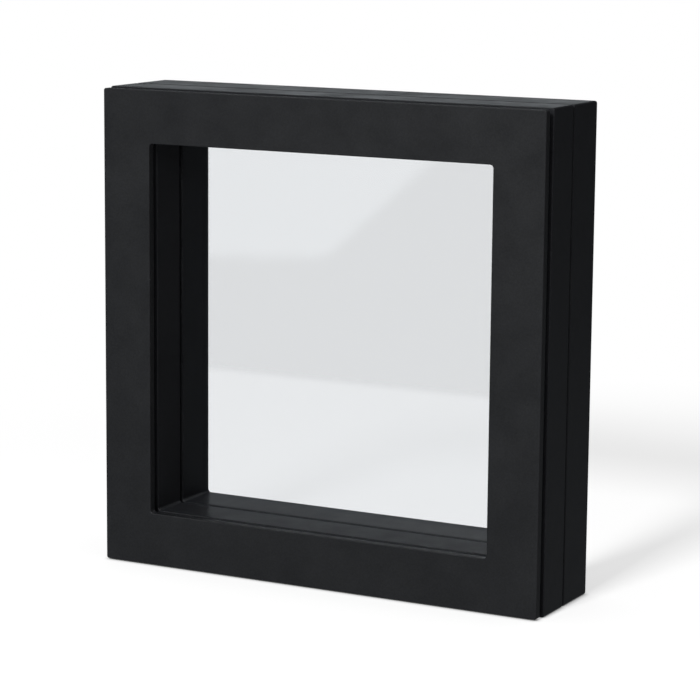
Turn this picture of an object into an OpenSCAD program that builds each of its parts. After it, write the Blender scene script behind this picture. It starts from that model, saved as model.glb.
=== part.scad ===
// Floating display frame: two hinged half frames, each with a clear film stretched across its opening.
// The thing on show is held between the two films.
// Every piece is drawn with the frame lying on its back: x to the right, y up the frame, z towards the viewer,
// and z = 0 at the parting plane. The rear half is drawn like the front one and mirrored. stand() then sets a
// piece upright, with the middle of the rear half's underside at the origin.

/* [Frame] */
// Width over the two sides
frame_w = 165; // [130:1:300]
// Height from the base to the top
frame_h = 165; // [130:1:300]
// Width of the rim, from the outside to the opening
rim_w = 18.5; // [17:0.5:28]
// Radius of the outer corners
outer_corner_r = 0.8; // [0.6:0.1:3]
// Radius of the opening's corners
opening_corner_r = 1.2; // [0.8:0.1:6]

/* [Half frames] */
// Depth of the front half, from the parting plane to the shadow groove
front_d = 15.7; // [15:0.1:30]
// Depth of the rear half, from the parting plane to the back
rear_d = 19.2; // [15:0.1:30]
// Thickness of the outer walls
outer_wall_t = 3.2; // [2.8:0.1:4]
// Thickness of the walls round the opening
inner_wall_t = 2.4; // [1.6:0.1:3]
// Thickness of the front and back walls
face_t = 2.4; // [1.6:0.1:4]
// Gap between the two halves' outer walls
parting_gap = 0.9; // [0.2:0.05:1.2]
// Rounding of the outer edges at the parting line
parting_edge_r = 0.4; // [0.2:0.05:0.8]
// Rounding of the outer edge at the back
back_edge_r = 0.7; // [0.3:0.05:2]
// Rounding of the opening's edge at the back
back_opening_edge_r = 1.2; // [0.5:0.1:2]

/* [Fascia] */
// Thickness of the fascia
fascia_t = 2.9; // [2:0.1:5]
// How far the fascia's outer edges lie inside the half frames' outer edges
fascia_inset = 0.4; // [0:0.05:1]
// Width of the shadow groove behind the fascia
groove_w = 2.2; // [0.6:0.1:3]
// Depth of the shadow groove, from the half frames' edges
groove_depth = 2.6; // [1.4:0.1:3]
// Rounding of the fascia's front edges
fascia_edge_r = 0.3; // [0.2:0.05:0.8]
// Rounding of the edges on both sides of the groove
groove_edge_r = 0.3; // [0.2:0.05:0.8]
// Radius of the fascia's pegs
peg_r = 1.5; // [1:0.1:2]
// Distance between the two pegs on each side
peg_pitch = 56; // [30:1:64]

/* [Films] */
// Thickness of a film
film_t = 0.3; // [0.2:0.05:0.4]
// Distance from the parting plane to the lip that a film is drawn over
lip_z = 0.9; // [0.7:0.05:1.5]
// Rounding of the lip's edge
lip_edge_r = 0.6; // [0.3:0.05:1]
// Width of the band where a film is bonded to its carrier
bond_w = 5.3; // [3:0.1:6]
// Gap between a carrier and the walls on both sides of it
carrier_gap = 0.3; // [0.2:0.05:0.6]

/* [Carrier screws] */
// Radius of a screw's shank
screw_r = 1; // [0.8:0.05:1.2]
// Radius of a screw's countersunk head
screw_head_r = 2; // [1.6:0.05:2.2]
// Height of a screw's head
screw_head_h = 1.1; // [0.8:0.05:1.6]
// Length of a screw in its boss
screw_bite = 6; // [4:0.5:7]
// Distance between the two screws on each side
screw_pitch = 80; // [72:1:100]
// Radius of a screw boss
boss_r = 2.6; // [2.2:0.1:2.8]

/* [Magnets] */
// Radius of a magnet or keeper
magnet_r = 3; // [2:0.1:3.2]
// Thickness of a magnet or keeper
magnet_t = 2.6; // [1.5:0.1:4]
// Gap between a magnet and its keeper when the frame is shut
magnet_air = 0.6; // [0.4:0.05:1]

/* [Hinges] */
// Radius of a hinge pin
pin_r = 0.75; // [0.5:0.05:0.8]
// Radius of a hinge knuckle
knuckle_r = 2; // [1.8:0.05:2.2]
// Distance of the hinge axis from the outside of the left wall
hinge_offset = 0.9; // [0.8:0.05:1.2]
// Length of the front half's knuckle
front_knuckle = 10; // [6:0.5:16]
// Length of each of the rear half's two knuckles
rear_knuckle = 7; // [5:0.5:12]
// Distance between the middles of the two hinges
hinge_pitch = 95; // [60:1:100]

/* [Hanging] */
// Radius of a keyhole's entry
key_entry_r = 3.5; // [2.5:0.1:3.6]
// Width of a keyhole's slot
key_slot_w = 3.6; // [2.4:0.1:4]
// Distance from the entry's middle to the middle of the slot's end
key_travel = 5.4; // [4:0.1:5.5]
// Distance between the two keyholes
key_pitch = 60; // [40:1:64]

/* [Clearances] */
// Radial clearance of a pin in its knuckles
pin_fit = 0.05; // [0.02:0.01:0.1]
// Clearance round and between knuckles
knuckle_gap = 0.3; // [0.2:0.05:0.5]
// Radial clearance of a peg in its hole
peg_fit = 0.1; // [0.05:0.05:0.2]
// Radial clearance of a screw in its boss
screw_fit = 0.05; // [0.02:0.01:0.1]
// Clearance of a screw in the carrier
screw_clear = 0.12; // [0.1:0.01:0.3]
// Radial clearance of a magnet in its pocket
magnet_fit = 0.1; // [0.05:0.05:0.2]

/* [Hidden] */
$fn = 48;
plastic = "#2a2c2d";
carrier_plastic = "#1f2021";
film_clear = [0.86, 0.89, 0.92, 0.3];
steel = "#b4b6b8";
nickel = "#c9c7c0";

// How far a cutter runs past the face that it cuts
cut = 0.5;
// Floor under a magnet's pocket
pocket_floor = 1;
// Plastic left outside a screw's head and a magnet's pocket
seat_margin = 0.8;
// Free depth past a screw's tip and past a peg's end
tip_gap = 0.6;
// Floor that a hinge pin stands on in its lowest knuckle
pin_floor = 1.2;
// Width and depth of the cross recess in a screw's head
recess_w = 0.6;
recess_d = 0.7;

opening_w = frame_w - 2 * rim_w;
opening_h = frame_h - 2 * rim_w;
carrier_t = magnet_t + magnet_air / 2 - lip_z + pocket_floor;
carrier_outer = outer_wall_t + carrier_gap;
film_inset = rim_w - inner_wall_t - carrier_gap - bond_w;
screw_inset = carrier_outer + seat_margin + screw_head_r;
magnet_inset = carrier_outer + seat_margin + magnet_r;
boss_z = lip_z + carrier_t;
fascia_z = front_d + groove_w;
peg_len = groove_w + face_t - tip_gap;
hinge_x = -frame_w / 2 - hinge_offset;
hinge_span = front_knuckle + 2 * (rear_knuckle + knuckle_gap);
pin_len = hinge_span - pin_floor;
channel_mid = (outer_wall_t + rim_w - inner_wall_t) / 2;
key_entry_inset = channel_mid + (key_travel + key_slot_w / 2 - key_entry_r) / 2;

// Sets a piece that is drawn lying on its back upright on its base
module stand() {
    translate([0, -rear_d / 2, frame_h / 2]) rotate([90, 0, 0]) children();
}

// Turns a piece drawn on the front side of the parting plane to the rear side
module rear_side() {
    mirror([0, 0, 1]) children();
}

// Places a child twice on each of the four sides, a pitch apart and an inset from the outside
module along_sides(pitch, inset) {
    for (a = [-1, 1], b = [-1, 1]) {
        translate([a * pitch / 2, b * (frame_h / 2 - inset), 0]) children();
        translate([b * (frame_w / 2 - inset), a * pitch / 2, 0]) children();
    }
}

// Places a child in each corner, an inset from both outsides
module at_corners(inset) {
    for (a = [-1, 1], b = [-1, 1])
        translate([a * (frame_w / 2 - inset), b * (frame_h / 2 - inset), 0]) children();
}

// Rectangle with rounded corners, centred
module round_rect(w, h, r) {
    square([w - 2 * r, h], center = true);
    square([w, h - 2 * r], center = true);
    for (a = [-1, 1], b = [-1, 1]) translate([a * (w / 2 - r), b * (h / 2 - r)]) circle(r);
}

// Outline of the frame, drawn in by an inset
module outline(inset) {
    round_rect(frame_w - 2 * inset, frame_h - 2 * inset, outer_corner_r);
}

// Outline of the opening, widened by a grow
module opening(grow) {
    round_rect(opening_w + 2 * grow, opening_h + 2 * grow, opening_corner_r + grow);
}

// Ring from z0 to z1, inside the first child and outside the second
module ring(z0, z1) {
    translate([0, 0, z0]) linear_extrude(z1 - z0) difference() {
        children(0);
        children(1);
    }
}

// Carries a profile round a rounded rectangle: the profile's x points outwards from the line and its y up
module sweep(w, h, r) {
    for (k = [0:3]) {
        across = k % 2 == 0 ? w : h;
        along = (k % 2 == 0 ? h : w) - 2 * r;
        rotate([0, 0, 90 * k]) {
            translate([across / 2, along / 2, 0]) rotate([90, 0, 0]) linear_extrude(along) children();
            translate([across / 2 - r, along / 2, 0]) rotate_extrude(angle = 90) translate([r, 0]) children();
        }
    }
}

// What a rounding takes off an edge at the origin whose solid lies at negative x and y
module round_over(r) {
    difference() {
        translate([-r, -r]) square(r + cut);
        translate([-r, -r]) circle(r);
    }
}

// Cutter that rounds the frame's outer edge at height z, with the solid below it, or above it if flip is 1
module outer_edge(z, r, flip = 0, inset = 0) {
    translate([0, 0, z]) mirror([0, 0, flip])
        sweep(frame_w - 2 * inset, frame_h - 2 * inset, outer_corner_r)
            round_over(min(r, outer_corner_r));
}

// Cutter that rounds the opening's edge in the same way
module opening_edge(z, r, flip = 0) {
    translate([0, 0, z]) mirror([0, 0, flip])
        sweep(opening_w, opening_h, opening_corner_r) mirror([1, 0]) round_over(r);
}

// Cylinder along the hinge axis, from y0 upwards
module hinge_rod(y0, len, r) {
    translate([hinge_x, y0, 0]) rotate([-90, 0, 0]) cylinder(h = len, r = r);
}

// Knuckle with the web that ties it to the outer wall
module knuckle(y0, len) {
    hinge_rod(y0, len, knuckle_r);
    translate([hinge_x, y0, parting_gap / 2])
        cube([hinge_offset + outer_wall_t / 2, len, knuckle_r - parting_gap / 2]);
}

// Channel-shaped half frame, open towards the parting plane, with bosses for the carrier's screws
module half_frame(depth) {
    difference() {
        union() {
            ring(parting_gap / 2, depth) {
                outline(0);
                outline(outer_wall_t);
            }
            ring(lip_z, depth) {
                opening(inner_wall_t);
                opening(0);
            }
            ring(depth - face_t, depth) {
                outline(0);
                opening(0);
            }
            along_sides(screw_pitch, screw_inset) translate([0, 0, boss_z])
                cylinder(h = depth - face_t / 2 - boss_z, r = boss_r);
        }
        along_sides(screw_pitch, screw_inset) translate([0, 0, boss_z - cut])
            cylinder(h = screw_bite + tip_gap + cut, r = screw_r + screw_fit);
        outer_edge(parting_gap / 2, parting_edge_r, 1);
        opening_edge(lip_z, lip_edge_r, 1);
    }
}

// Keyhole through the back wall of the rear half, with its slot upwards
module keyhole() {
    translate([0, frame_h / 2 - key_entry_inset, rear_d - face_t - cut]) {
        cylinder(h = face_t + 2 * cut, r = key_entry_r);
        translate([-key_slot_w / 2, 0, 0]) cube([key_slot_w, key_travel, face_t + 2 * cut]);
        translate([0, key_travel, 0]) cylinder(h = face_t + 2 * cut, r = key_slot_w / 2);
    }
}

// Ring that a film is bonded to, with countersunk holes and corner pockets
module film_carrier() {
    difference() {
        ring(lip_z, boss_z) {
            outline(carrier_outer);
            opening(inner_wall_t + carrier_gap);
        }
        along_sides(screw_pitch, screw_inset) translate([0, 0, lip_z]) {
            cylinder(h = carrier_t + cut, r = screw_r + screw_clear);
            cylinder(h = screw_head_h, r1 = screw_head_r + screw_clear, r2 = screw_r + screw_clear);
        }
        at_corners(magnet_inset) translate([0, 0, lip_z - cut])
            cylinder(h = magnet_air / 2 + magnet_t - lip_z + cut, r = magnet_r + magnet_fit);
    }
}

module film() {
    translate([0, 0, lip_z - film_t]) linear_extrude(film_t) outline(film_inset);
}

module carrier_screws() {
    along_sides(screw_pitch, screw_inset) translate([0, 0, lip_z]) difference() {
        union() {
            cylinder(h = carrier_t + screw_bite, r = screw_r);
            cylinder(h = screw_head_h, r1 = screw_head_r, r2 = screw_r);
        }
        for (turn = [0, 90]) rotate([0, 0, turn])
            translate([-screw_r, -recess_w / 2, -cut]) cube([2 * screw_r, recess_w, recess_d + cut]);
    }
}

module corner_discs() {
    at_corners(magnet_inset) translate([0, 0, magnet_air / 2]) cylinder(h = magnet_t, r = magnet_r);
}

module hinge_pin(side) {
    color(steel) stand() hinge_rod(side * hinge_pitch / 2 - hinge_span / 2 + pin_floor, pin_len, pin_r);
}

module rear_shell() {
    color(plastic) stand() rear_side() difference() {
        union() {
            difference() {
                half_frame(rear_d);
                for (side = [-1, 1])
                    hinge_rod(side * hinge_pitch / 2 - front_knuckle / 2 - knuckle_gap,
                              front_knuckle + 2 * knuckle_gap, knuckle_r + knuckle_gap);
            }
            for (side = [-1, 1], end = [-1, 1])
                knuckle(side * hinge_pitch / 2 - rear_knuckle / 2
                        + end * (front_knuckle + rear_knuckle + 2 * knuckle_gap) / 2, rear_knuckle);
        }
        for (side = [-1, 1])
            hinge_rod(side * hinge_pitch / 2 - hinge_span / 2 + pin_floor, pin_len + cut, pin_r + pin_fit);
        for (side = [-1, 1]) translate([side * key_pitch / 2, 0, 0]) keyhole();
        outer_edge(rear_d, back_edge_r);
        opening_edge(rear_d, back_opening_edge_r);
    }
}

module rear_film() {
    color(film_clear) stand() rear_side() film();
}

module rear_film_carrier() {
    color(carrier_plastic) stand() rear_side() film_carrier();
}

module rear_carrier_screws() {
    color(steel) stand() rear_side() carrier_screws();
}

module rear_magnets() {
    color(nickel) stand() rear_side() corner_discs();
}

module upper_hinge_pin() {
    hinge_pin(1);
}

module lower_hinge_pin() {
    hinge_pin(-1);
}

module front_shell() {
    color(plastic) stand() difference() {
        union() {
            difference() {
                half_frame(front_d);
                for (side = [-1, 1], end = [-1, 1])
                    hinge_rod(side * hinge_pitch / 2 - rear_knuckle / 2 - knuckle_gap
                              + end * (front_knuckle + rear_knuckle + 2 * knuckle_gap) / 2,
                              rear_knuckle + 2 * knuckle_gap, knuckle_r + knuckle_gap);
            }
            for (side = [-1, 1]) knuckle(side * hinge_pitch / 2 - front_knuckle / 2, front_knuckle);
            ring(front_d - face_t / 2, fascia_z) {
                outline(groove_depth);
                opening(groove_depth);
            }
        }
        for (side = [-1, 1])
            hinge_rod(side * hinge_pitch / 2 - front_knuckle / 2 - knuckle_gap,
                      front_knuckle + 2 * knuckle_gap, pin_r + pin_fit);
        along_sides(peg_pitch, rim_w / 2) translate([0, 0, front_d - face_t - cut])
            cylinder(h = face_t + groove_w + 2 * cut, r = peg_r + peg_fit);
        outer_edge(front_d, groove_edge_r);
        opening_edge(front_d, groove_edge_r);
    }
}

module front_fascia() {
    color(plastic) stand() difference() {
        union() {
            ring(fascia_z, fascia_z + fascia_t) {
                outline(fascia_inset);
                opening(0);
            }
            along_sides(peg_pitch, rim_w / 2) translate([0, 0, fascia_z - peg_len])
                cylinder(h = peg_len + fascia_t / 2, r = peg_r);
        }
        outer_edge(fascia_z + fascia_t, fascia_edge_r, 0, fascia_inset);
        opening_edge(fascia_z + fascia_t, fascia_edge_r);
        outer_edge(fascia_z, groove_edge_r, 1, fascia_inset);
        opening_edge(fascia_z, groove_edge_r, 1);
    }
}

module front_film() {
    color(film_clear) stand() film();
}

module front_film_carrier() {
    color(carrier_plastic) stand() film_carrier();
}

module front_carrier_screws() {
    color(steel) stand() carrier_screws();
}

module front_keepers() {
    color(steel) stand() corner_discs();
}

rear_shell();
rear_film();
rear_film_carrier();
rear_carrier_screws();
rear_magnets();
upper_hinge_pin();
lower_hinge_pin();
front_shell();
front_fascia();
front_film();
front_film_carrier();
front_carrier_screws();
front_keepers();
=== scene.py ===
"""Looks of a floating display frame: two hinged half frames of black moulded plastic, each with a clear film.

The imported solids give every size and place. Each operator dresses one piece or one group of like pieces,
and the panel in the sidebar lists them.
"""

import math

import bmesh
import bpy
from mathutils import Matrix, Vector


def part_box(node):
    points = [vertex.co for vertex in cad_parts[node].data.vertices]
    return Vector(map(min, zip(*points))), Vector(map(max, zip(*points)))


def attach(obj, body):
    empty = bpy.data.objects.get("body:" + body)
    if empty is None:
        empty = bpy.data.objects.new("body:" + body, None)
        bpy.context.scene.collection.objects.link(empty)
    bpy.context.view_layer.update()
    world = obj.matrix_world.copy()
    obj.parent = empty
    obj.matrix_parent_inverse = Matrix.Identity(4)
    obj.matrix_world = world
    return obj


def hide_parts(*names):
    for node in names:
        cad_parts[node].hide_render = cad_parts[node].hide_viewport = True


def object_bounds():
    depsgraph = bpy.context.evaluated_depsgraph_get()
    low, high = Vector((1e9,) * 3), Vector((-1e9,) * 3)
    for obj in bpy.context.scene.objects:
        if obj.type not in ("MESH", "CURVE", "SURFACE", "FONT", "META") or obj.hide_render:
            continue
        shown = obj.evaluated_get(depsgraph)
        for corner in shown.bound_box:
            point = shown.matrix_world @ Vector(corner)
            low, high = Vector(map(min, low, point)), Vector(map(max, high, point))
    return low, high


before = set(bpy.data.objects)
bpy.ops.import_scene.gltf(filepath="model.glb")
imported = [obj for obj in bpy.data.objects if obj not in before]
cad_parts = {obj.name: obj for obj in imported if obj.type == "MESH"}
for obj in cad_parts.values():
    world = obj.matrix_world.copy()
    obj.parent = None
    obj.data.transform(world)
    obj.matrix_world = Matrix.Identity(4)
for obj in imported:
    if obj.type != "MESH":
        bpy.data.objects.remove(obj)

bl_info = {
    "name": "Floating Display Frame",
    "version": (1, 0, 0),
    "blender": (4, 5, 0),
    "location": "View3D > Sidebar > Display Frame",
    "description": "Dresses the solids of a hinged display frame with clear films",
    "category": "Object",
}

MM = 0.001
CAD_BOUNDS = [list(corner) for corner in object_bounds()]

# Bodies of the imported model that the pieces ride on, and the turn that sends a part's own +Z into each of
# them, away from the parting plane
REAR, FRONT = "rear_half", "front_half"
INTO = {FRONT: (math.radians(90), 0, 0), REAR: (math.radians(-90), 0, 0)}

# Corners of a mesh that lie closer than this are one corner
MERGE_GAP = 0.0005 * MM
# Faces that turn by less than the first angle are one flat face, and by less than the second one curve. Edges
# that turn by more than the third are sharp.
FLAT_TURN, CURVE_TURN, SHARP_TURN = math.radians(0.3), math.radians(35), math.radians(50)
# A rim, such as a hole's, is small where all its edges are shorter than this
SMALL_RIM_EDGE = 1 * MM
# Faces across a broken edge, and round a screw or disc
BEVEL_STEPS, ROUND_SIDES = 3, 32
# Least value that the rule for the bevels divides by
TINY = 1e-9

# Most of a noise texture lies between these values
NOISE_LOW, NOISE_HIGH = 0.3, 0.7

# The studio that gloss mirrors. A height is the sine of an angle above the horizon, and the light of each
# part rises from the first height or cosine of its pair to the second.
DIM_ROOM = 0.02
CEILING_HEIGHTS = (0.35, 0.8)
TABLE_HEIGHTS = (-0.08, -0.4)
BACKDROP_HEIGHTS = (0.17, 0.04)
BACKDROP_HEADING = (-0.476, 0.879, 0.0)
BACKDROP_COSINES = (0.9, 0.99)
STUDIO_TINT = (0.9, 0.96, 1, 1)
# The white card that the films mirror lies on the positive side of each of these normals, with soft edges
CARD_NORMALS = ((0, -1, 0), (0, 0, -1), (-0.639, 0.2311, 0.7336), (-0.0713, -0.1161, 0.9907))
CARD_EDGE = (-0.004, 0.003)

# Where the floor runs into the backdrop: round this point to the eye, and from this depth on through a film
FADE_MIDDLE = (0.12, 0, 0)
FADE_REACH = (0.315, 0.43)
TABLE_END = (0.298, 0.321)
# Share and strength of the glow that lifts the floor, first to the eye and then through a film
GLOW_SHARES = (0.24, 0.8)
GLOW_STRENGTHS = (2.33, 1.15)
# Width of the painted contact shadow, a dark line where something stands on the floor, and the floor's light
# to gloss that looks at it through a film
PAINTED_CONTACT_SHADOW_WIDTH = 2 * MM
MIRRORED_FLOOR = 0.015
# How much darker the backdrop is through a film
FILM_DIM = 0.09
# Light Path counts bounces, so this lies between none and one
HALF_BOUNCE = 0.5


def linear(hex_colour):
    """Linear RGB of an sRGB hex value."""
    channels = [int(hex_colour[at:at + 2], 16) / 255 for at in (1, 3, 5)]
    return [c / 12.92 if c <= 0.04045 else ((c + 0.055) / 1.055) ** 2.4 for c in channels]


def add_node(tree, kind, settings=None, inputs=None):
    """Adds a node with its settings. An input that is given a socket is linked, and any other is set."""
    node = tree.nodes.new(kind)
    for name, value in (settings or {}).items():
        setattr(node, name, value)
    for name, value in (inputs or {}).items():
        if isinstance(value, bpy.types.NodeSocket):
            tree.links.new(value, node.inputs[name])
        else:
            node.inputs[name].default_value = value
    return node


class DisplayFrameFinish(bpy.types.PropertyGroup):
    """Colours and surface detail of the pieces"""

    shell_colour: bpy.props.FloatVectorProperty(
        name="Shell colour", description="Moulded plastic of the two half frames",
        default=linear("#202124"), subtype="COLOR", min=0, max=1)
    fascia_colour: bpy.props.FloatVectorProperty(
        name="Fascia colour", description="Moulded plastic of the front ring",
        default=linear("#212224"), subtype="COLOR", min=0, max=1)
    carrier_colour: bpy.props.FloatVectorProperty(
        name="Carrier colour", description="Moulded plastic of the rings that hold the films",
        default=linear("#1b1c1d"), subtype="COLOR", min=0, max=1)
    film_colour: bpy.props.FloatVectorProperty(
        name="Film tint", description="Tint of the light that passes a film",
        default=linear("#f9fafb"), subtype="COLOR", min=0, max=1)
    cloud_size: bpy.props.FloatProperty(
        name="Cloud size", description="Width of the soft clouds that moulding leaves in the gloss",
        default=13 * MM, unit="LENGTH", min=1 * MM)
    # Real grain is about 0.1 mm wide. That is too fine to show, so it is drawn coarser.
    grain_size: bpy.props.FloatProperty(
        name="Grain size", description="Width of the fine grain of the mould's surface",
        default=0.55 * MM, unit="LENGTH", min=0.1 * MM)
    satin_roughness: bpy.props.FloatProperty(
        name="Satin roughness", description="Roughness of the half frames and the fascia",
        default=0.4, subtype="FACTOR", min=0, max=1)
    matt_roughness: bpy.props.FloatProperty(
        name="Matt roughness", description="Roughness of the film carriers",
        default=0.6, subtype="FACTOR", min=0, max=1)
    wave_size: bpy.props.FloatProperty(
        name="Wave size", description="Width of the faint waves that the stretch leaves in a film",
        default=45 * MM, unit="LENGTH", min=1 * MM)
    film_clearance: bpy.props.FloatProperty(
        name="Film clearance", description="Gap between a film and the faces that it is bonded to",
        default=0.03 * MM, unit="LENGTH", min=0)
    edge_break: bpy.props.FloatProperty(
        name="Edge break", description="Width of the small bevel on edges that would be sharp",
        default=0.15 * MM, unit="LENGTH", min=0)


class DisplayFrameFasteners(bpy.types.PropertyGroup):
    """Sizes of the screws, magnets and keepers that the boxes of their solids don't give"""

    rim_height: bpy.props.FloatProperty(
        name="Rim height", description="Height of the bevel round a screw's head",
        default=0.12 * MM, unit="LENGTH", min=0)
    head_height: bpy.props.FloatProperty(
        name="Head height", description="Height of a screw's countersunk head",
        default=1.1 * MM, unit="LENGTH", min=0)
    shank_radius: bpy.props.FloatProperty(
        name="Shank radius", description="Radius of a screw's shank",
        default=1 * MM, unit="LENGTH", min=0)
    recess_width: bpy.props.FloatProperty(
        name="Recess width", description="Width of the cross recess in a screw's head",
        default=0.6 * MM, unit="LENGTH", min=0)
    recess_depth: bpy.props.FloatProperty(
        name="Recess depth", description="Depth of the cross recess in a screw's head",
        default=0.7 * MM, unit="LENGTH", min=0)
    disc_bevel: bpy.props.FloatProperty(
        name="Disc bevel", description="Bevel on the edges of a magnet or keeper",
        default=0.25 * MM, unit="LENGTH", min=0)


class DisplayFrameStage(bpy.types.PropertyGroup):
    """Camera, lights and floor"""

    camera_place: bpy.props.FloatVectorProperty(
        name="Camera place", description="Place of the camera",
        default=(0.42247, -0.80474, 0.23438), subtype="XYZ", unit="LENGTH")
    camera_turn: bpy.props.FloatProperty(
        name="Camera turn", description="How far the camera stands round to the right of the front",
        default=math.radians(27.844), subtype="ANGLE")
    camera_tilt: bpy.props.FloatProperty(
        name="Camera tilt", description="How far the camera looks down",
        default=math.radians(9.827), subtype="ANGLE")
    camera_roll: bpy.props.FloatProperty(
        name="Camera roll", description="Roll of the camera about its own line of sight",
        default=math.radians(0.505), subtype="ANGLE")
    lens: bpy.props.FloatProperty(
        name="Lens", description="Focal length in millimetres on a 36 mm sensor", default=139.1, min=10)
    key_place: bpy.props.FloatVectorProperty(
        name="Key place", description="Place of the key light",
        default=(-0.026, -1.448, 1.07), subtype="XYZ", unit="LENGTH")
    key_size: bpy.props.FloatProperty(
        name="Key size", description="Width of the key light's lamp, which sets how soft its shadows are",
        default=0.375, unit="LENGTH", min=0)
    screen_size: bpy.props.FloatProperty(
        name="Screen size", description="Width of the key light's screen, which gloss mirrors",
        default=1.8, unit="LENGTH", min=0)
    key_power: bpy.props.FloatProperty(
        name="Key power", description="Power of the key light", default=22, unit="POWER", min=0)
    ambient: bpy.props.FloatProperty(
        name="Ambient", description="Light of the dome on matt surfaces", default=0.35, min=0)
    ceiling_light: bpy.props.FloatProperty(
        name="Ceiling light", description="Light of the ceiling that gloss mirrors", default=0.35, min=0)
    table_light: bpy.props.FloatProperty(
        name="Table light", description="Light from below that gloss mirrors", default=0.14, min=0)
    backdrop_light: bpy.props.FloatProperty(
        name="Backdrop light", description="Light of the backdrop behind the frame that gloss mirrors",
        default=2.6, min=0)
    card_light: bpy.props.FloatProperty(
        name="Card light", description="Light of the white card that the films mirror", default=2.2, min=0)
    floor_colour: bpy.props.FloatVectorProperty(
        name="Floor colour", description="Paint of the floor",
        default=linear("#ededed"), subtype="COLOR", min=0, max=1)
    floor_size: bpy.props.FloatProperty(
        name="Floor size", description="Width of the floor", default=12, unit="LENGTH", min=1)


def moulded_abs(name, colour, roughness, finish):
    """Black ABS moulded in a spark-eroded tool: satin or matt, with a fine even grain and faint clouds in the
    gloss."""
    tone_spread, speck_spread, rough_spread = 0.18, 0.2, 0.05
    material = bpy.data.materials.new(name)
    material.use_nodes = True
    tree = material.node_tree
    shader = tree.nodes["Principled BSDF"]
    place = add_node(tree, "ShaderNodeTexCoord").outputs["Object"]
    clouds = add_node(tree, "ShaderNodeTexNoise", None, {
        "Vector": place, "Scale": 1 / finish.cloud_size, "Detail": 3.0, "Roughness": 0.6})
    grain = add_node(tree, "ShaderNodeTexNoise", None, {
        "Vector": place, "Scale": 1 / finish.grain_size, "Detail": 2.0, "Roughness": 0.7})
    tone = add_node(tree, "ShaderNodeMix", {"data_type": "RGBA"}, {
        "Factor": clouds.outputs["Fac"],
        6: (*[c * (1 - tone_spread) for c in colour], 1),
        7: (*[c * (1 + tone_spread) for c in colour], 1)})
    speck = add_node(tree, "ShaderNodeMapRange", None, {
        "Value": grain.outputs["Fac"], "From Min": NOISE_LOW, "From Max": NOISE_HIGH,
        "To Min": 1 - speck_spread, "To Max": 1 + speck_spread})
    speckled = add_node(tree, "ShaderNodeVectorMath", {"operation": "SCALE"}, {
        0: tone.outputs[2], "Scale": speck.outputs["Result"]})
    rough = add_node(tree, "ShaderNodeMapRange", None, {
        "Value": clouds.outputs["Fac"], "From Min": NOISE_LOW, "From Max": NOISE_HIGH,
        "To Min": roughness - rough_spread, "To Max": roughness + rough_spread})
    bump = add_node(tree, "ShaderNodeBump", None, {
        "Height": grain.outputs["Fac"], "Strength": 0.25, "Distance": 0.03 * MM})
    tree.links.new(speckled.outputs["Vector"], shader.inputs["Base Color"])
    tree.links.new(rough.outputs["Result"], shader.inputs["Roughness"])
    tree.links.new(bump.outputs["Normal"], shader.inputs["Normal"])
    shader.inputs["IOR"].default_value = 1.5
    shader.inputs["Specular IOR Level"].default_value = 0.28
    return material


def clear_film(finish):
    """Clear polyurethane film, drawn tight: almost no colour, sharp reflections and faint waves from the
    stretch."""
    material = bpy.data.materials.new("clear_polyurethane_film")
    material.use_nodes = True
    tree = material.node_tree
    shader = tree.nodes["Principled BSDF"]
    place = add_node(tree, "ShaderNodeTexCoord").outputs["Object"]
    waves = add_node(tree, "ShaderNodeTexNoise", None, {
        "Vector": place, "Scale": 1 / finish.wave_size, "Detail": 1.0})
    bump = add_node(tree, "ShaderNodeBump", None, {
        "Height": waves.outputs["Fac"], "Strength": 0.1, "Distance": 0.2 * MM})
    tree.links.new(bump.outputs["Normal"], shader.inputs["Normal"])
    shader.inputs["Base Color"].default_value = (*finish.film_colour, 1)
    shader.inputs["Transmission Weight"].default_value = 1.0
    shader.inputs["Roughness"].default_value = 0.0
    shader.inputs["IOR"].default_value = 1.45
    return material


def plain_metal(name, colour, roughness, spread, mark_size):
    """Small steel part: metallic, with soft marks in the gloss as wide as the finish leaves them."""
    material = bpy.data.materials.new(name)
    material.use_nodes = True
    tree = material.node_tree
    shader = tree.nodes["Principled BSDF"]
    place = add_node(tree, "ShaderNodeTexCoord").outputs["Object"]
    marks = add_node(tree, "ShaderNodeTexNoise", None, {
        "Vector": place, "Scale": 1 / mark_size, "Detail": 3.0})
    rough = add_node(tree, "ShaderNodeMapRange", None, {
        "Value": marks.outputs["Fac"], "From Min": NOISE_LOW, "From Max": NOISE_HIGH,
        "To Min": roughness - spread, "To Max": roughness + spread})
    bump = add_node(tree, "ShaderNodeBump", None, {
        "Height": marks.outputs["Fac"], "Strength": 0.2, "Distance": 0.01 * MM})
    tree.links.new(rough.outputs["Result"], shader.inputs["Roughness"])
    tree.links.new(bump.outputs["Normal"], shader.inputs["Normal"])
    shader.inputs["Base Color"].default_value = (*linear(colour), 1)
    shader.inputs["Metallic"].default_value = 1.0
    return material


def smooth_curves(mesh):
    """Smooths the faces, and keeps each edge sharp where its faces turn too far to be one curve."""
    mesh.shade_smooth()
    shape = bmesh.new()
    shape.from_mesh(mesh)
    for edge in shape.edges:
        edge.smooth = len(edge.link_faces) == 2 and edge.calc_face_angle(0) < CURVE_TURN
    shape.to_mesh(mesh)
    shape.free()


def applied(piece):
    """Turns a piece and its modifiers into a plain mesh."""
    graph = bpy.context.evaluated_depsgraph_get()
    mesh = bpy.data.meshes.new_from_object(piece.evaluated_get(graph))
    piece.modifiers.clear()
    piece.data = mesh
    mesh.name = piece.name
    return piece


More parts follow.
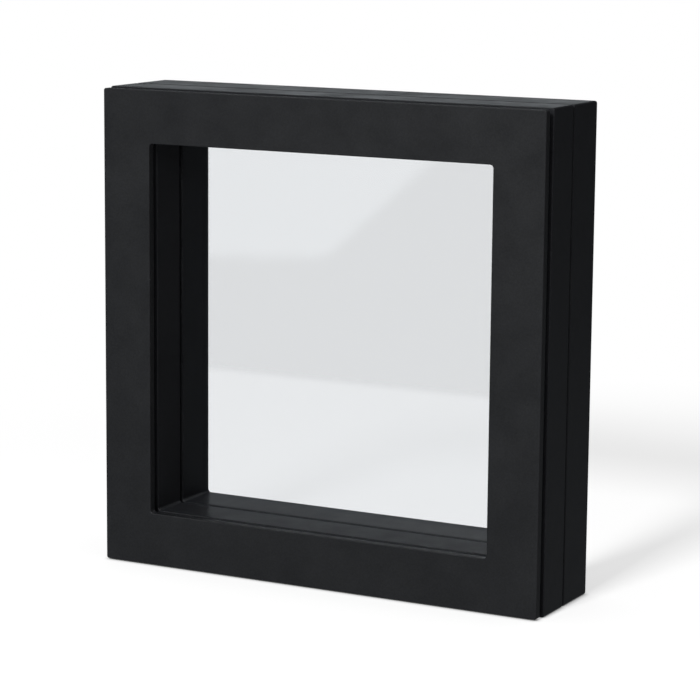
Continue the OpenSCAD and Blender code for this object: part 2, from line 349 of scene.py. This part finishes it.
def bevel_room(corner, cut):
    """Widest bevel at which an edge of a face doesn't collide with the edges before and after it in the face.
    Only the edges in cut get a bevel."""
    edge, before, after = corner.edge, corner.link_loop_prev.edge, corner.link_loop_next.edge
    room, shrink = math.inf, 0
    for beside, angle in ((before, corner.calc_angle()), (after, corner.link_loop_next.calc_angle())):
        across = max(math.sin(angle), TINY)
        shrink += ((beside in cut) + (edge in cut) * math.cos(angle)) / across
        if edge in cut and beside not in cut:
            room = min(room, beside.calc_length() * across)
    if shrink > TINY and len({edge, before, after} & cut) > 1:
        room = min(room, edge.calc_length() / shrink)
    return room


def islands(items, near):
    """Sets of items that are joined to each other, step by step, through what near gives for each of them."""
    waiting = set(items)
    groups = []
    while waiting:
        group, front = set(), [waiting.pop()]
        while front:
            item = front.pop()
            group.add(item)
            reached = near(item) & waiting
            waiting -= reached
            front.extend(reached)
        groups.append(group)
    return groups


def outer_edges(shape, bevel):
    """Sharp outer edges of a solid that have room for a bevel of this width. A small rim is left out all
    round where one of its edges has no room."""
    sharp = {edge for edge in shape.edges if edge.is_convex and edge.calc_face_angle(0) > SHARP_TURN}
    rims = islands(sharp, lambda edge: {other for vert in edge.verts for other in vert.link_edges})
    small = [rim for rim in rims if max(edge.calc_length() for edge in rim) < SMALL_RIM_EDGE]
    cut, tight = sharp, sharp
    while tight:
        corners = (corner for face in shape.faces for corner in face.loops if bevel_room(corner, cut) < bevel)
        tight = {edge for corner in corners
                 for edge in (corner.link_loop_prev.edge, corner.edge, corner.link_loop_next.edge)} & cut
        tight = tight.union(*(rim for rim in small if rim & tight))
        cut = cut - tight
    return [edge for edge in shape.edges if edge in cut]


def merged_copy(node, name, bevel):
    """Copy of a node's mesh with its triangles joined, its sharp outer edges broken and its curves smooth."""
    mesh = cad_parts[node].data.copy()
    mesh.materials.clear()
    shape = bmesh.new()
    shape.from_mesh(mesh)
    bmesh.ops.remove_doubles(shape, verts=shape.verts, dist=MERGE_GAP)
    bmesh.ops.dissolve_limit(shape, angle_limit=FLAT_TURN, verts=shape.verts, edges=shape.edges)
    if bevel:
        bmesh.ops.bevel(shape, geom=outer_edges(shape, bevel), offset=bevel, offset_type="OFFSET",
                        segments=BEVEL_STEPS, profile=0.5, affect="EDGES", clamp_overlap=True)
    shape.to_mesh(mesh)
    shape.free()
    piece = bpy.data.objects.new(name, mesh)
    bpy.context.scene.collection.objects.link(piece)
    smooth_curves(mesh)
    normals = piece.modifiers.new("flat_faces_lead", "WEIGHTED_NORMAL")
    normals.keep_sharp = True
    return applied(piece)


def put_on(piece, body, slot, *nodes):
    """The piece stands for these nodes and rides on the body. The slot is not used."""
    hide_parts(*nodes)
    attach(piece, body)


def solid_middles(node):
    """Middle of the box of each separate solid of a node, in order."""
    shape = bmesh.new()
    shape.from_mesh(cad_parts[node].data)
    bmesh.ops.remove_doubles(shape, verts=shape.verts, dist=MERGE_GAP)
    middles = []
    for solid in islands(shape.verts, lambda vert: {edge.other_vert(vert) for edge in vert.link_edges}):
        low = Vector([min(vert.co[axis] for vert in solid) for axis in range(3)])
        high = Vector([max(vert.co[axis] for vert in solid) for axis in range(3)])
        middles.append((low + high) / 2)
    shape.free()
    return sorted(middles, key=tuple)


def turned_solid(tree, sizes, first_radius, steps):
    """Solid of revolution from the origin up: each step is a rise and the radius that it ends with."""
    cap = add_node(tree, "GeometryNodeMeshCircle", {"fill_type": "NGON"}, {
        "Vertices": ROUND_SIDES, "Radius": sizes[first_radius]})
    solid, top, radius = cap.outputs["Mesh"], True, sizes[first_radius]
    for rise, next_radius in steps:
        along = add_node(tree, "ShaderNodeCombineXYZ", None, {"Z": sizes[rise]})
        raised = add_node(tree, "GeometryNodeExtrudeMesh", {"mode": "FACES"}, {
            "Mesh": solid, "Selection": top, "Offset": along.outputs["Vector"],
            "Offset Scale": 1.0, "Individual": False})
        top = raised.outputs["Top"]
        ratio = add_node(tree, "ShaderNodeMath", {"operation": "DIVIDE"}, {0: sizes[next_radius], 1: radius})
        scaled = add_node(tree, "GeometryNodeScaleElements", {"domain": "FACE"}, {
            "Geometry": raised.outputs["Mesh"], "Selection": top, "Scale": ratio.outputs["Value"]})
        solid, radius = scaled.outputs["Geometry"], sizes[next_radius]
    base = add_node(tree, "GeometryNodeFlipFaces", None, {"Mesh": cap.outputs["Mesh"]})
    joined = add_node(tree, "GeometryNodeJoinGeometry", None, {"Geometry": solid})
    tree.links.new(base.outputs["Mesh"], joined.inputs["Geometry"])
    closed = add_node(tree, "GeometryNodeMergeByDistance", None, {
        "Geometry": joined.outputs["Geometry"], "Distance": MERGE_GAP})
    return closed.outputs["Geometry"]


def set_on_points(tree, source, sizes, solid):
    """Ends a tree: the solid on each point of the source, turned, realised and given its material."""
    turn = add_node(tree, "FunctionNodeEulerToRotation", None, {"Euler": sizes["Turn"]})
    placed = add_node(tree, "GeometryNodeInstanceOnPoints", None, {
        "Points": source, "Instance": solid, "Rotation": turn.outputs["Rotation"]})
    real = add_node(tree, "GeometryNodeRealizeInstances", None, {"Geometry": placed.outputs["Instances"]})
    painted = add_node(tree, "GeometryNodeSetMaterial", None, {
        "Geometry": real.outputs["Geometry"], "Material": sizes["Material"]})
    add_node(tree, "NodeGroupOutput", None, {"Geometry": painted.outputs["Geometry"]})


def point_tree(name, lengths):
    """Geometry tree with a mesh of points, named lengths, a turn and a material as inputs."""
    tree = bpy.data.node_groups.new(name, "GeometryNodeTree")
    tree.interface.new_socket("Geometry", in_out="OUTPUT", socket_type="NodeSocketGeometry")
    tree.interface.new_socket("Geometry", in_out="INPUT", socket_type="NodeSocketGeometry")
    for length in lengths:
        tree.interface.new_socket(length, in_out="INPUT", socket_type="NodeSocketFloat")
    tree.interface.new_socket("Turn", in_out="INPUT", socket_type="NodeSocketVector")
    tree.interface.new_socket("Material", in_out="INPUT", socket_type="NodeSocketMaterial")
    sizes = add_node(tree, "NodeGroupInput").outputs
    return tree, sizes


def screw_tree():
    """Countersunk screws with a cross recess, head down on the origin and shank up."""
    tree, sizes = point_tree("countersunk_screws", [
        "Rim Radius", "Rim Height", "Head Radius", "Cone Height", "Shank Radius", "Shank Length",
        "Recess Length", "Recess Width", "Recess Height"])
    screw = turned_solid(tree, sizes, "Rim Radius", [
        ("Rim Height", "Head Radius"), ("Cone Height", "Shank Radius"), ("Shank Length", "Shank Radius")])
    arms = []
    for across, along in (("Recess Length", "Recess Width"), ("Recess Width", "Recess Length")):
        size = add_node(tree, "ShaderNodeCombineXYZ", None, {
            "X": sizes[across], "Y": sizes[along], "Z": sizes["Recess Height"]})
        arms.append(add_node(tree, "GeometryNodeMeshCube", None, {"Size": size.outputs["Vector"]}))
    cut = add_node(tree, "GeometryNodeMeshBoolean", {
        "operation": "DIFFERENCE", "solver": "MANIFOLD"}, {"Mesh 1": screw})
    for arm in arms:
        tree.links.new(arm.outputs["Mesh"], cut.inputs["Mesh 2"])
    set_on_points(tree, sizes["Geometry"], sizes, cut.outputs["Mesh"])
    return tree


def disc_tree():
    """Discs with a bevel on both edges."""
    tree, sizes = point_tree("bevelled_discs", ["Face Radius", "Bevel", "Disc Radius", "Wall Height"])
    disc = turned_solid(tree, sizes, "Face Radius", [
        ("Bevel", "Disc Radius"), ("Wall Height", "Disc Radius"), ("Bevel", "Face Radius")])
    set_on_points(tree, sizes["Geometry"], sizes, disc)
    return tree


def grown_on_points(name, points, tree, values):
    """Plain mesh that a tree makes on these points with these inputs."""
    mesh = bpy.data.meshes.new(name)
    mesh.from_pydata(points, [], [])
    piece = bpy.data.objects.new(name, mesh)
    bpy.context.scene.collection.objects.link(piece)
    grow = piece.modifiers.new("grow", "NODES")
    grow.node_group = tree
    for item in tree.interface.items_tree:
        if item.in_out == "INPUT" and item.name in values:
            grow[item.identifier] = values[item.name]
    applied(piece)
    smooth_curves(piece.data)
    return piece


def seat_points(node, body):
    """Point on each solid of a node that lies nearest to the parting plane."""
    low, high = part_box(node)
    seat_y = high.y if body == FRONT else low.y
    return [(middle.x, seat_y, middle.z) for middle in solid_middles(node)]


class DISPLAYFRAME_OT_stage(bpy.types.Operator):
    """Sets up the camera, the key light, the dome and the pale floor"""

    bl_idname = "display_frame.stage"
    bl_label = "Stage"

    def execute(self, context):
        stage = context.scene.display_frame_stage
        add_camera(stage)
        add_key(stage)
        add_dome(stage)
        add_floor(stage)
        context.scene.view_settings.view_transform = "Standard"
        return {"FINISHED"}


def add_camera(stage):
    """Camera at the place and with the tilt of the view from the front right."""
    turn, tilt, roll = stage.camera_turn, stage.camera_tilt, stage.camera_roll
    back = Vector((math.sin(turn) * math.cos(tilt), -math.cos(turn) * math.cos(tilt), math.sin(tilt)))
    level = Vector((0, 0, 1)).cross(back).normalized()
    upright = back.cross(level)
    right = math.cos(roll) * level + math.sin(roll) * upright
    up = math.cos(roll) * upright - math.sin(roll) * level
    data = bpy.data.cameras.new("camera")
    data.lens = stage.lens
    camera = bpy.data.objects.new("camera", data)
    bpy.context.scene.collection.objects.link(camera)
    view = Matrix((right, up, back)).transposed().to_4x4()
    camera.matrix_world = Matrix.Translation(stage.camera_place) @ view
    bpy.context.scene.camera = camera


def add_key(stage):
    """Round key light in front of the frame, above it and aimed at its middle. Its lamp lights matt surfaces
    and throws the shadow, and its wide screen is what gloss mirrors."""
    low, high = (Vector(corner) for corner in CAD_BOUNDS)
    for name, size in (("key_lamp", stage.key_size), ("key_screen", stage.screen_size)):
        data = bpy.data.lights.new(name, "AREA")
        data.shape = "DISK"
        data.size = size
        data.energy = stage.key_power
        lamp = bpy.data.objects.new(name, data)
        bpy.context.scene.collection.objects.link(lamp)
        lamp.location = stage.key_place
        lamp.visible_glossy = name == "key_screen"
        lamp.visible_diffuse = name == "key_lamp"
        lamp.visible_transmission = False
        lamp.rotation_mode = "QUATERNION"
        lamp.rotation_quaternion = (lamp.location - (low + high) / 2).to_track_quat("Z", "Y")


def ray_kinds(tree, path):
    """Two factors: 1 for a ray from the camera, also where it has passed a film, and 1 for a ray that gloss
    has mirrored."""
    bounces = add_node(tree, "ShaderNodeMath", {"operation": "ADD"}, {
        0: path["Glossy Depth"], 1: path["Diffuse Depth"]})
    straight = add_node(tree, "ShaderNodeMath", {"operation": "LESS_THAN"}, {
        0: bounces.outputs["Value"], 1: HALF_BOUNCE})
    through = add_node(tree, "ShaderNodeMath", {"operation": "MULTIPLY"}, {
        0: path["Is Transmission Ray"], 1: straight.outputs["Value"]})
    seen = add_node(tree, "ShaderNodeMath", {"operation": "MAXIMUM"}, {
        0: path["Is Camera Ray"], 1: through.outputs["Value"]})
    mirrored = add_node(tree, "ShaderNodeMath", {"operation": "GREATER_THAN"}, {
        0: path["Glossy Depth"], 1: HALF_BOUNCE})
    return seen.outputs["Value"], mirrored.outputs["Value"]


def backdrop_level(tree, path):
    """White to the eye, and a little less behind a film, so that the film shows against it."""
    level = add_node(tree, "ShaderNodeMath", {"operation": "MULTIPLY_ADD"}, {
        0: path["Is Transmission Ray"], 1: -FILM_DIM, 2: 1.0})
    return level.outputs["Value"]


def mirrored_card(tree, path, heading, light):
    """Light of a white card that lies low in front. Only the films are smooth enough to mirror it."""
    for normal in CARD_NORMALS:
        inside = add_node(tree, "ShaderNodeVectorMath", {"operation": "DOT_PRODUCT"}, {0: heading, 1: normal})
        side = add_node(tree, "ShaderNodeMapRange", {"interpolation_type": "SMOOTHSTEP"}, {
            "Value": inside.outputs["Value"], "From Min": CARD_EDGE[0], "From Max": CARD_EDGE[1]})
        light = add_node(tree, "ShaderNodeMath", {"operation": "MULTIPLY"}, {
            0: side.outputs["Result"], 1: light}).outputs["Value"]
    shown = add_node(tree, "ShaderNodeMath", {"operation": "MULTIPLY"}, {
        0: light, 1: path["Is Singular Ray"]})
    return shown.outputs["Value"]


def add_dome(stage):
    """White behind the object and a plain level of light on matt surfaces. Reflections see a dim room with a
    pale backdrop behind the frame and a soft ceiling, so that black plastic stays black on its sides and
    shines on top."""
    world = bpy.data.worlds.new("studio_dome")
    bpy.context.scene.world = world
    world.use_nodes = True
    world.cycles.sampling_method = "NONE"
    tree = world.node_tree
    tree.nodes.clear()
    path = add_node(tree, "ShaderNodeLightPath").outputs
    heading = add_node(tree, "ShaderNodeTexCoord").outputs["Generated"]
    height = add_node(tree, "ShaderNodeSeparateXYZ", None, {"Vector": heading}).outputs["Z"]
    ceiling = add_node(tree, "ShaderNodeMapRange", {"interpolation_type": "SMOOTHSTEP"}, {
        "Value": height, "From Min": CEILING_HEIGHTS[0], "From Max": CEILING_HEIGHTS[1],
        "To Min": DIM_ROOM, "To Max": stage.ceiling_light})
    table = add_node(tree, "ShaderNodeMapRange", {"interpolation_type": "SMOOTHSTEP"}, {
        "Value": height, "From Min": TABLE_HEIGHTS[0], "From Max": TABLE_HEIGHTS[1],
        "To Min": 0.0, "To Max": stage.table_light})
    behind = add_node(tree, "ShaderNodeVectorMath", {"operation": "DOT_PRODUCT"}, {
        0: heading, 1: BACKDROP_HEADING})
    width = add_node(tree, "ShaderNodeMapRange", {"interpolation_type": "SMOOTHSTEP"}, {
        "Value": behind.outputs["Value"], "From Min": BACKDROP_COSINES[0], "From Max": BACKDROP_COSINES[1]})
    band = add_node(tree, "ShaderNodeMapRange", {"interpolation_type": "SMOOTHSTEP"}, {
        "Value": height, "From Min": BACKDROP_HEIGHTS[0], "From Max": BACKDROP_HEIGHTS[1],
        "To Min": 0.0, "To Max": stage.backdrop_light})
    backdrop = add_node(tree, "ShaderNodeMath", {"operation": "MULTIPLY"}, {
        0: width.outputs["Result"], 1: band.outputs["Result"]})
    room = ceiling.outputs["Result"]
    for light in (table.outputs["Result"], backdrop.outputs["Value"],
                  mirrored_card(tree, path, heading, stage.card_light)):
        room = add_node(tree, "ShaderNodeMath", {"operation": "ADD"}, {0: room, 1: light}).outputs["Value"]
    seen, mirrored = ray_kinds(tree, path)
    matt = add_node(tree, "ShaderNodeBackground", None, {"Strength": stage.ambient, "Color": (1, 1, 1, 1)})
    studio = add_node(tree, "ShaderNodeBackground", None, {"Strength": room, "Color": STUDIO_TINT})
    white = add_node(tree, "ShaderNodeBackground", None, {
        "Strength": backdrop_level(tree, path), "Color": (1, 1, 1, 1)})
    lit = add_node(tree, "ShaderNodeMixShader", None, {
        "Fac": mirrored, 1: matt.outputs["Background"], 2: studio.outputs["Background"]})
    shown = add_node(tree, "ShaderNodeMixShader", None, {
        "Fac": seen, 1: lit.outputs["Shader"], 2: white.outputs["Background"]})
    add_node(tree, "ShaderNodeOutputWorld", None, {"Surface": shown.outputs["Shader"]})


def add_floor(stage):
    """Pale floor that keeps the shadow. To the eye it is lifted towards white, except for a painted contact
    shadow right beside the frame, and runs into the backdrop. Gloss doesn't mirror it, and through a film
    sees it almost black."""
    half = stage.floor_size / 2
    corners = [(-half, -half, 0), (half, -half, 0), (half, half, 0), (-half, half, 0)]
    mesh = bpy.data.meshes.new("floor")
    mesh.from_pydata(corners, [], [(0, 1, 2, 3)])
    floor = bpy.data.objects.new("floor", mesh)
    bpy.context.scene.collection.objects.link(floor)
    floor.visible_glossy = False
    material = bpy.data.materials.new("white_floor")
    material.use_nodes = True
    material.cycles.emission_sampling = "NONE"
    mesh.materials.append(material)
    tree = material.node_tree
    tree.nodes.clear()
    path = add_node(tree, "ShaderNodeLightPath").outputs
    place = add_node(tree, "ShaderNodeTexCoord").outputs["Object"]
    depth = add_node(tree, "ShaderNodeSeparateXYZ", None, {"Vector": place}).outputs["Y"]
    reach = add_node(tree, "ShaderNodeVectorMath", {"operation": "DISTANCE"}, {0: place, 1: FADE_MIDDLE})
    table_end = add_node(tree, "ShaderNodeMapRange", {"interpolation_type": "SMOOTHSTEP"}, {
        "Value": depth, "From Min": TABLE_END[0], "From Max": TABLE_END[1]})
    fade_out = add_node(tree, "ShaderNodeMapRange", {"interpolation_type": "SMOOTHSTEP"}, {
        "Value": reach.outputs["Value"], "From Min": FADE_REACH[0], "From Max": FADE_REACH[1]})
    far = add_node(tree, "ShaderNodeMix", {"data_type": "FLOAT"}, {
        "Factor": path["Is Transmission Ray"], 2: fade_out.outputs["Result"], 3: table_end.outputs["Result"]})
    paint = add_node(tree, "ShaderNodeBsdfDiffuse", None, {"Color": (*stage.floor_colour, 1)})
    share = add_node(tree, "ShaderNodeMix", {"data_type": "FLOAT"}, {
        "Factor": path["Is Transmission Ray"], 2: GLOW_SHARES[0], 3: GLOW_SHARES[1]})
    strength = add_node(tree, "ShaderNodeMix", {"data_type": "FLOAT"}, {
        "Factor": path["Is Transmission Ray"], 2: GLOW_STRENGTHS[0], 3: GLOW_STRENGTHS[1]})
    # Painted contact shadow: the glow that lifts the floor is darkened where something stands close over it
    painted_contact_shadow = add_node(tree, "ShaderNodeAmbientOcclusion", {"samples": 8}, {"Distance": PAINTED_CONTACT_SHADOW_WIDTH})
    shaded = add_node(tree, "ShaderNodeMath", {"operation": "MULTIPLY"}, {
        0: strength.outputs[0], 1: painted_contact_shadow.outputs["AO"]})
    glow = add_node(tree, "ShaderNodeEmission", None, {"Strength": shaded.outputs["Value"]})
    table = add_node(tree, "ShaderNodeMixShader", None, {
        "Fac": share.outputs[0], 1: paint.outputs["BSDF"], 2: glow.outputs["Emission"]})
    backdrop = add_node(tree, "ShaderNodeEmission", None, {"Strength": backdrop_level(tree, path)})
    view = add_node(tree, "ShaderNodeMixShader", None, {
        "Fac": far.outputs[0], 1: table.outputs["Shader"], 2: backdrop.outputs["Emission"]})
    seen, mirrored = ray_kinds(tree, path)
    dim = add_node(tree, "ShaderNodeEmission", None, {"Strength": MIRRORED_FLOOR})
    unseen = add_node(tree, "ShaderNodeMixShader", None, {
        "Fac": mirrored, 1: paint.outputs["BSDF"], 2: dim.outputs["Emission"]})
    mixed = add_node(tree, "ShaderNodeMixShader", None, {
        "Fac": seen, 1: unseen.outputs["Shader"], 2: view.outputs["Shader"]})
    add_node(tree, "ShaderNodeOutputMaterial", None, {"Surface": mixed.outputs["Shader"]})


class DISPLAYFRAME_OT_shells(bpy.types.Operator):
    """Dresses the front and rear half frames"""

    bl_idname = "display_frame.shells"
    bl_label = "Half frames"

    def execute(self, context):
        finish = context.scene.display_frame_finish
        plastic = moulded_abs("black_abs_satin", finish.shell_colour, finish.satin_roughness, finish)
        for body, node in ((REAR, "rear_shell"), (FRONT, "front_shell")):
            piece = merged_copy(node, f"{node}_moulding", finish.edge_break)
            piece.data.materials.append(plastic)
            put_on(piece, body, "frame_plastic", node)
        return {"FINISHED"}


class DISPLAYFRAME_OT_fascia(bpy.types.Operator):
    """Dresses the flat ring on the front"""

    bl_idname = "display_frame.fascia"
    bl_label = "Fascia"

    def execute(self, context):
        finish = context.scene.display_frame_finish
        piece = merged_copy("front_fascia", "fascia_moulding", 0)
        plastic = moulded_abs("black_abs_fascia", finish.fascia_colour, finish.satin_roughness, finish)
        piece.data.materials.append(plastic)
        put_on(piece, FRONT, "fascia_plastic", "front_fascia")
        return {"FINISHED"}


class DISPLAYFRAME_OT_carriers(bpy.types.Operator):
    """Dresses the rings that the films are bonded to"""

    bl_idname = "display_frame.carriers"
    bl_label = "Film carriers"

    def execute(self, context):
        finish = context.scene.display_frame_finish
        plastic = moulded_abs("black_abs_matt", finish.carrier_colour, finish.matt_roughness, finish)
        for body, node in ((REAR, "rear_film_carrier"), (FRONT, "front_film_carrier")):
            piece = merged_copy(node, f"{node}_ring", finish.edge_break)
            piece.data.materials.append(plastic)
            put_on(piece, body, "carrier_plastic", node)
        return {"FINISHED"}


class DISPLAYFRAME_OT_films(bpy.types.Operator):
    """Dresses the two clear films"""

    bl_idname = "display_frame.films"
    bl_label = "Films"

    def execute(self, context):
        finish = context.scene.display_frame_finish
        gap = finish.film_clearance
        clear = clear_film(finish)
        for body, node in ((REAR, "rear_film"), (FRONT, "front_film")):
            piece = merged_copy(node, f"{node}_sheet", 0)
            low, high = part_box(node)
            lip_y, clear_y = (low.y, low.y + gap) if body == FRONT else (high.y, high.y - gap)
            for vert in piece.data.vertices:
                if abs(vert.co.y - lip_y) < gap:
                    vert.co.y = clear_y
            piece.data.materials.append(clear)
            piece.visible_shadow = False
            piece.visible_diffuse = False
            put_on(piece, body, "clear_film", node)
        return {"FINISHED"}


class DISPLAYFRAME_OT_screws(bpy.types.Operator):
    """Sets the countersunk screws in both carriers"""

    bl_idname = "display_frame.screws"
    bl_label = "Carrier screws"

    def execute(self, context):
        sizes = context.scene.display_frame_fasteners
        zinc = plain_metal("zinc_plated_steel", "#b9bcc0", roughness=0.34, spread=0.06, mark_size=0.8 * MM)
        tree = screw_tree()
        for body, node in ((REAR, "rear_carrier_screws"), (FRONT, "front_carrier_screws")):
            low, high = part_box(node)
            middles = solid_middles(node)
            head_radius = high.x - max(middle.x for middle in middles)
            piece = grown_on_points(f"{body}_screws", seat_points(node, body), tree, {
                "Rim Radius": head_radius - sizes.rim_height, "Rim Height": sizes.rim_height,
                "Head Radius": head_radius, "Cone Height": sizes.head_height - sizes.rim_height,
                "Shank Radius": sizes.shank_radius, "Shank Length": high.y - low.y - sizes.head_height,
                "Recess Length": 2 * sizes.shank_radius, "Recess Width": sizes.recess_width,
                "Recess Height": 2 * sizes.recess_depth, "Turn": INTO[body], "Material": zinc})
            put_on(piece, body, "screw_steel", node)
        return {"FINISHED"}


class DISPLAYFRAME_OT_magnets(bpy.types.Operator):
    """Sets the magnets in the rear carrier and the steel keepers in the front one"""

    bl_idname = "display_frame.magnets"
    bl_label = "Magnets and keepers"

    def execute(self, context):
        bevel = context.scene.display_frame_fasteners.disc_bevel
        nickel = plain_metal(
            "nickel_plated_magnet", "#cfccc4", roughness=0.2, spread=0.05, mark_size=1.2 * MM)
        zinc = plain_metal(
            "zinc_plated_keeper", "#b4b7ba", roughness=0.38, spread=0.07, mark_size=0.9 * MM)
        tree = disc_tree()
        for body, node, slot, metal in ((REAR, "rear_magnets", "magnet_nickel", nickel),
                                        (FRONT, "front_keepers", "keeper_steel", zinc)):
            low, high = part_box(node)
            radius = high.x - max(middle.x for middle in solid_middles(node))
            piece = grown_on_points(f"{node}_discs", seat_points(node, body), tree, {
                "Face Radius": radius - bevel, "Bevel": bevel, "Disc Radius": radius,
                "Wall Height": high.y - low.y - 2 * bevel, "Turn": INTO[body], "Material": metal})
            put_on(piece, body, slot, node)
        return {"FINISHED"}


class DISPLAYFRAME_OT_pins(bpy.types.Operator):
    """Dresses the two hinge pins"""

    bl_idname = "display_frame.pins"
    bl_label = "Hinge pins"

    def execute(self, context):
        finish = context.scene.display_frame_finish
        steel = plain_metal("ground_steel", "#aeb0b2", roughness=0.26, spread=0.05, mark_size=0.5 * MM)
        for node in ("upper_hinge_pin", "lower_hinge_pin"):
            piece = merged_copy(node, f"{node}_ground", finish.edge_break)
            piece.data.materials.append(steel)
            put_on(piece, REAR, "pin_steel", node)
        return {"FINISHED"}


class DISPLAYFRAME_PT_panel(bpy.types.Panel):
    """Lists the pieces of the display frame and their sizes and colours"""

    bl_label = "Display Frame"
    bl_idname = "DISPLAYFRAME_PT_panel"
    bl_space_type = "VIEW_3D"
    bl_region_type = "UI"
    bl_category = "Display Frame"

    def draw(self, context):
        layout = self.layout
        for operator in OPERATORS:
            layout.operator(operator.bl_idname)
        for name, group in GROUPS.items():
            box = layout.box()
            for field in group.__annotations__:
                box.prop(getattr(context.scene, name), field)


OPERATORS = (DISPLAYFRAME_OT_stage, DISPLAYFRAME_OT_shells, DISPLAYFRAME_OT_fascia, DISPLAYFRAME_OT_carriers,
             DISPLAYFRAME_OT_films, DISPLAYFRAME_OT_screws, DISPLAYFRAME_OT_magnets, DISPLAYFRAME_OT_pins)
GROUPS = {"display_frame_finish": DisplayFrameFinish, "display_frame_fasteners": DisplayFrameFasteners,
          "display_frame_stage": DisplayFrameStage}


def register():
    for kind in (*GROUPS.values(), *OPERATORS, DISPLAYFRAME_PT_panel):
        bpy.utils.register_class(kind)
    for name, group in GROUPS.items():
        setattr(bpy.types.Scene, name, bpy.props.PointerProperty(type=group))


def unregister():
    for name in GROUPS:
        delattr(bpy.types.Scene, name)
    for kind in (DISPLAYFRAME_PT_panel, *reversed(OPERATORS), *reversed(GROUPS.values())):
        bpy.utils.unregister_class(kind)


def main():
    register()
    bpy.ops.display_frame.stage()
    bpy.ops.display_frame.shells()
    bpy.ops.display_frame.fascia()
    bpy.ops.display_frame.carriers()
    bpy.ops.display_frame.films()
    bpy.ops.display_frame.screws()
    bpy.ops.display_frame.magnets()
    bpy.ops.display_frame.pins()


if __name__ == "__main__":
    main()
